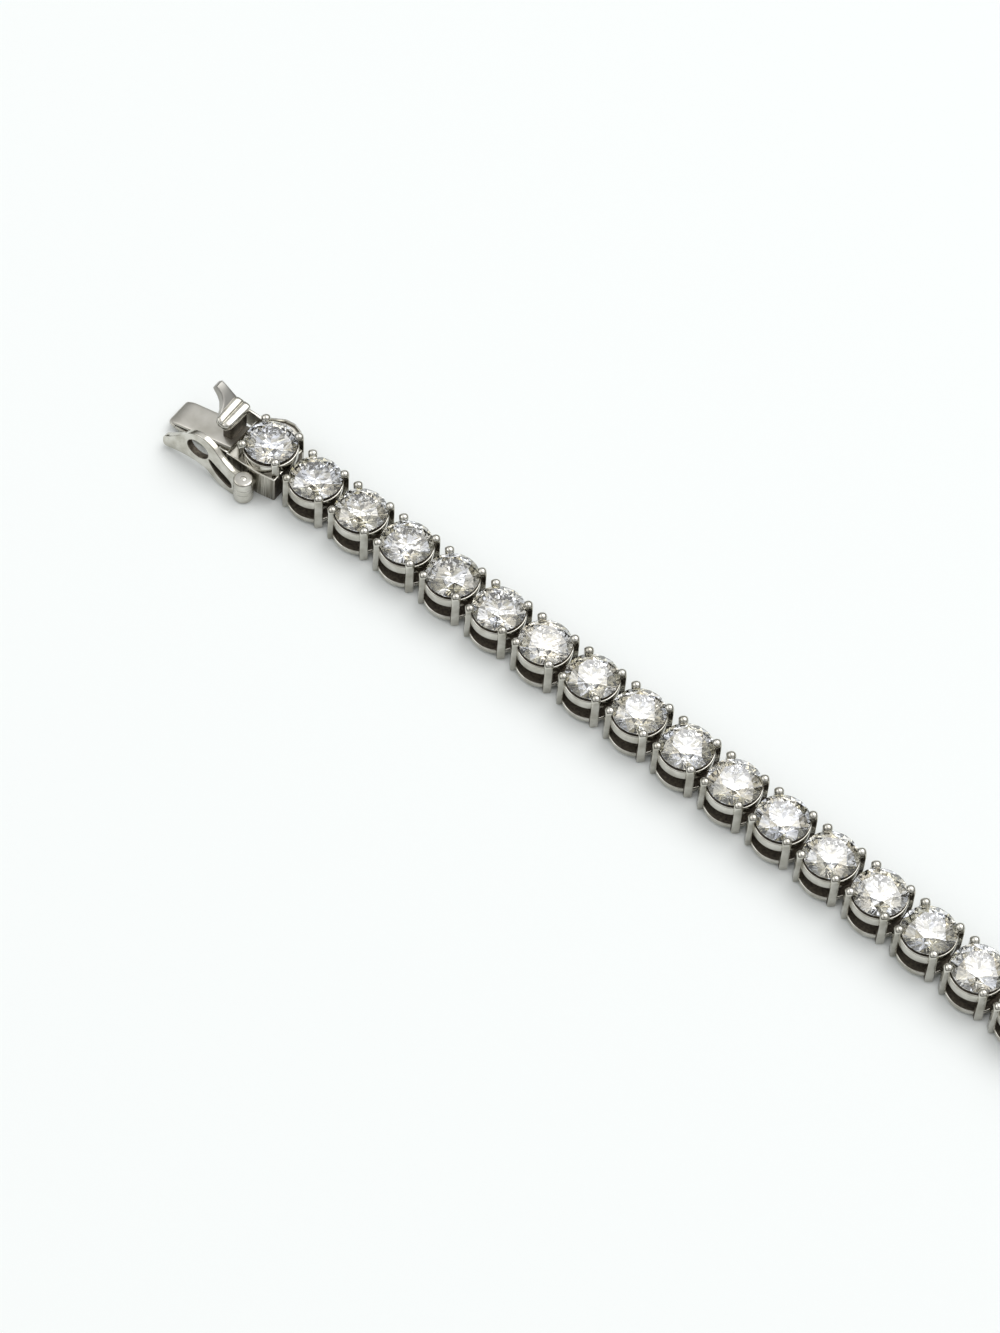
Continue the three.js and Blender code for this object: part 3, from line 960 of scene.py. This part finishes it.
# Safety catch: a flat figure of eight with rounded edges on two knuckles, mm from its pin
safetyCatch = {
    "outline": (
        (-0.2, 0.3), (-0.5, 0.05), (-1.2, 0.05), (-1.9, 0.06), (-2.6, 0.35), (-3.4, 0.72), (-4.6, 0.78),
        (-6.2, 0.55), (-7.2, 0.3), (-7.5, 0.5), (-7.5, 1.05), (-6.9, 1.5), (-5.95, 2.28), (-5.3, 2.96),
        (-4.6, 3.3), (-3.75, 3.34), (-2.95, 3.08), (-2.1, 2.53), (-1.2, 2.14), (-0.4, 2.08), (-0.2, 1.8),
    ),
    "slit": ((-3.15, 1.8), (-2.7, 1.25), (-1.95, 0.8), (-1.0, 0.56), (-1.05, 1.0), (-2.0, 1.4)),
    "loop": (-4.3, 2.05, 0.96, 0.62),  # middle and half sizes of the hole that grips the ball
    "half": 0.25,
    "edge": 0.07,
    "offset": 0.05,
    "lean": (0.16, 1.5),  # how much the plate leans in for its height, and from what height
    "turn": 5.0,
    "low": 0.03,
    "high": 2.12,
}


def makeSafetyCatch():
    c, t = safetyCatch, tongueLink
    x, z, rx, rz = c["loop"]
    angle = np.linspace(0, 2 * np.pi, 40, endpoint=False)
    hole = np.stack([x + rx * np.cos(angle), z + rz * np.sin(angle)], -1)
    outlines = [smoothLoop(c["outline"], 7), hole, smoothLoop(c["slit"], 6)]
    low, high = c["offset"] - c["half"], c["offset"] + c["half"]
    # the walls of the hole and the slit take the cast finish, their dark colour painted shade
    points, faces, kinds = standing(plate(outlines, low, high, c["edge"], 4, inside=castShadedFace))
    lean, leanFrom = c["lean"]
    points[:, 1] += lean * (points[:, 2] - leanFrom)
    surfaces = [
        (points, faces, kinds),
        drumRing(c["low"], t["earLow"] - 0.01, softLow=0.12),
        drumRing(t["earHigh"] + 0.01, c["high"], softHigh=0.16),
    ]
    hung = [turned(surface, -math.radians(c["turn"]), (*t["drum"], 0)) for surface in surfaces]
    placed = [toStation(surface, 0) for surface in hung]
    makePiece("figure_eight_catch", placed, "catch", ["safety_catch"], metals)


def makePin():
    # a round pin with domed ends
    t = tongueLink
    r, low, high = t["pinRadius"], 0.02, safetyCatch["high"] + 0.01
    profile = [(0.9 * r, low), (r, low + 0.02), (r, high - 0.01), (0.9 * r, high), (0.4 * r, high + 0.005)]
    surface = turned(turnedSolid(profile, 24), 0, (*t["drum"], 0))
    makePiece("catch_pin", [toStation(surface, 0)], "root", ["hinge_pin"], metals)


makeSafetyCatch()
makePin()

# Clasp box: walls, floor, roof with its notch, and the ball that the catch grips, mm
claspBox = {
    "back": -1.85,
    "mouth": 3.95,
    "halfWidth": (2.2, 2.32),  # at the back and at the mouth
    "corner": 0.1,
    "lap": 0.15,  # how far the floor and the roof go into the walls
    "floor": 0.3,
    "roof": 2.05,
    "notch": 2.2,
    "well": 1.5,  # radius of the hole under the head
    "ball": (2.15, -3.0, 2.05),
    "ballRadius": 0.68,
    "neck": 0.34,
    "neckFoot": -2.1,  # the Y where the ball's neck leaves the wall
}


def makeClaspBox():
    b, wall, top = claspBox, head["wall"], head["baseHigh"]
    back, mouth = b["back"], b["mouth"]
    narrow, wide = b["halfWidth"]
    walls = np.array([
        (back, -narrow), (mouth, -wide), (mouth, wall - wide), (back + wall, wall - narrow),
        (back + wall, narrow - wall), (mouth, wide - wall), (mouth, wide), (back, narrow),
    ])
    inside = narrow - b["lap"]
    floor = roundedBox(back + 0.1, mouth, -inside, inside, 0.05, 2)
    roof = roundedBox(back + 0.1, b["notch"], -inside, inside, 0.05, 2)
    angle = np.linspace(0, 2 * np.pi, 56, endpoint=False)
    well = b["well"] * np.stack([np.cos(angle), np.sin(angle)], -1)
    x, y, z = b["ball"]
    swing = np.radians(np.linspace(-88, 66, 16))
    ball = [(b["ballRadius"] * math.cos(a), -b["ballRadius"] * math.sin(a)) for a in swing[::-1]]
    reach = y - b["neckFoot"]
    profile = [(b["neck"] * 1.25, reach), (b["neck"], reach * 0.85), *ball]
    surfaces = [
        plate([softCorners(walls, b["corner"])], 0, top, head["edge"], material=brushedFace),
        plate([floor], 0.02, b["floor"], 0.04, 2, material=satinFace),
        # the well's wall takes the cast finish, its dark colour painted shade
        plate([roof, well], b["roof"], top - 0.005, 0.04, 2, material=satinFace, inside=castShadedFace),
        *headSurfaces(),
        lying(turnedSolid(profile, 32), (x, y, z)),
    ]
    placed = [toStation(surface, lastLink) for surface in surfaces] + hingeHalf(lastLink, -1)
    makePiece("socket_box", placed, "root", ["clasp_box"], metals)


makeClaspBox()
print("clasp made")

# Table, light and surround
studio = {
    "floor": "#F4F7F6",
    "floorSize": 8.0,  # m
    "floorRoughness": 0.7,
    "tooth": 900.0,  # bumps in a metre
    "toothDepth": 0.1,  # mm
    "key": (0.0, 0.6, 1.1),  # m, from the far side, so that the shadow falls towards the camera
    "keyPower": 6.0,
    "keySize": 1.1,
    "fill": (-0.9, -0.5, 1.0),
    "fillPower": 2.0,
    "fillSize": 0.9,
}


def paperMaterial():
    # matt white card: even, with a very faint tooth
    material, tree = newMaterial("white_card")
    place = addNode(tree, "ShaderNodeTexCoord").outputs["Object"]
    tooth = addNode(tree, "ShaderNodeTexNoise", {"Scale": studio["tooth"], "Detail": 3.0}, {"Vector": place})
    bump = addNode(tree, "ShaderNodeBump", {"Strength": 0.1, "Distance": studio["toothDepth"] * mm},
                   {"Height": tooth.outputs["Fac"]})
    shader = addNode(tree, "ShaderNodeBsdfPrincipled",
                     {"Base Color": linear(studio["floor"]), "Roughness": studio["floorRoughness"]},
                     {"Normal": bump.outputs["Normal"]})
    finishMaterial(tree, shader)
    return material


def makeFloor():
    half = studio["floorSize"] / 2
    mesh = bpy.data.meshes.new("table_top")
    corners = [(-half, -half, 0), (half, -half, 0), (half, half, 0), (-half, half, 0)]
    mesh.from_pydata(corners, [], [(0, 1, 2, 3)])
    mesh.materials.append(paperMaterial())
    floor = bpy.data.objects.new("table_top", mesh)
    bpy.context.scene.collection.objects.link(floor)


def addSoftbox(name, spot, power, size):
    light = bpy.data.lights.new(name, "AREA")
    light.energy = power
    light.shape = "DISK"
    light.size = size
    lamp = bpy.data.objects.new(name, light)
    bpy.context.scene.collection.objects.link(lamp)
    lamp.location = spot
    lamp.rotation_euler = Vector(spot).to_track_quat("Z", "Y").to_euler()
    lamp.visible_camera = False


# A pale room: bright overhead, dimmer towards the horizon and where someone leans over the table, so
# that metal and stones have something to mirror
room = {
    "sky": ((0.0, "#484742"), (0.25, "#74736D"), (0.5, "#D2D4D6"), (0.72, "#FFFFFF")),  # 1 is overhead
    "strength": 0.95,
    "dim": 0.25,
    "dimTowards": (0.37, -0.44, 0.82),
    "dimSpan": (11, 22),  # degrees out from that way
}


def makeSurround():
    world = bpy.data.worlds.new("pale_room")
    bpy.context.scene.world = world
    world.use_nodes = True
    tree = world.node_tree
    tree.nodes.clear()
    place = addNode(tree, "ShaderNodeTexCoord").outputs["Generated"]
    split = addNode(tree, "ShaderNodeSeparateXYZ", links={"Vector": place})
    shade = addNode(tree, "ShaderNodeValToRGB", links={"Fac": split.outputs["Z"]})
    setRamp(shade, [(height, linear(colour)) for height, colour in room["sky"]])
    near = addNode(tree, "ShaderNodeVectorMath", links={"Vector": place}, operation="DOT_PRODUCT")
    near.inputs[1].default_value = Vector(room["dimTowards"]).normalized()
    inner, outer = (math.cos(math.radians(angle)) for angle in room["dimSpan"])
    glow = addNode(tree, "ShaderNodeMapRange",
                   {"From Min": outer, "From Max": inner, "To Min": room["strength"], "To Max": room["dim"]},
                   {"Value": near.outputs["Value"]}, interpolation_type="SMOOTHSTEP")
    back = addNode(tree, "ShaderNodeBackground",
                   links={"Color": shade.outputs["Color"], "Strength": glow.outputs["Result"]})
    addNode(tree, "ShaderNodeOutputWorld", links={"Surface": back.outputs[0]})


makeFloor()
addSoftbox("key", studio["key"], studio["keyPower"], studio["keySize"])
addSoftbox("fill", studio["fill"], studio["fillPower"], studio["fillSize"])
makeSurround()
bpy.context.scene.view_settings.view_transform = "Standard"
bpy.context.scene.cycles.max_bounces = 24
bpy.context.scene.cycles.glossy_bounces = 16
bpy.context.scene.cycles.transmission_bounces = 24
print("stage and lights set")
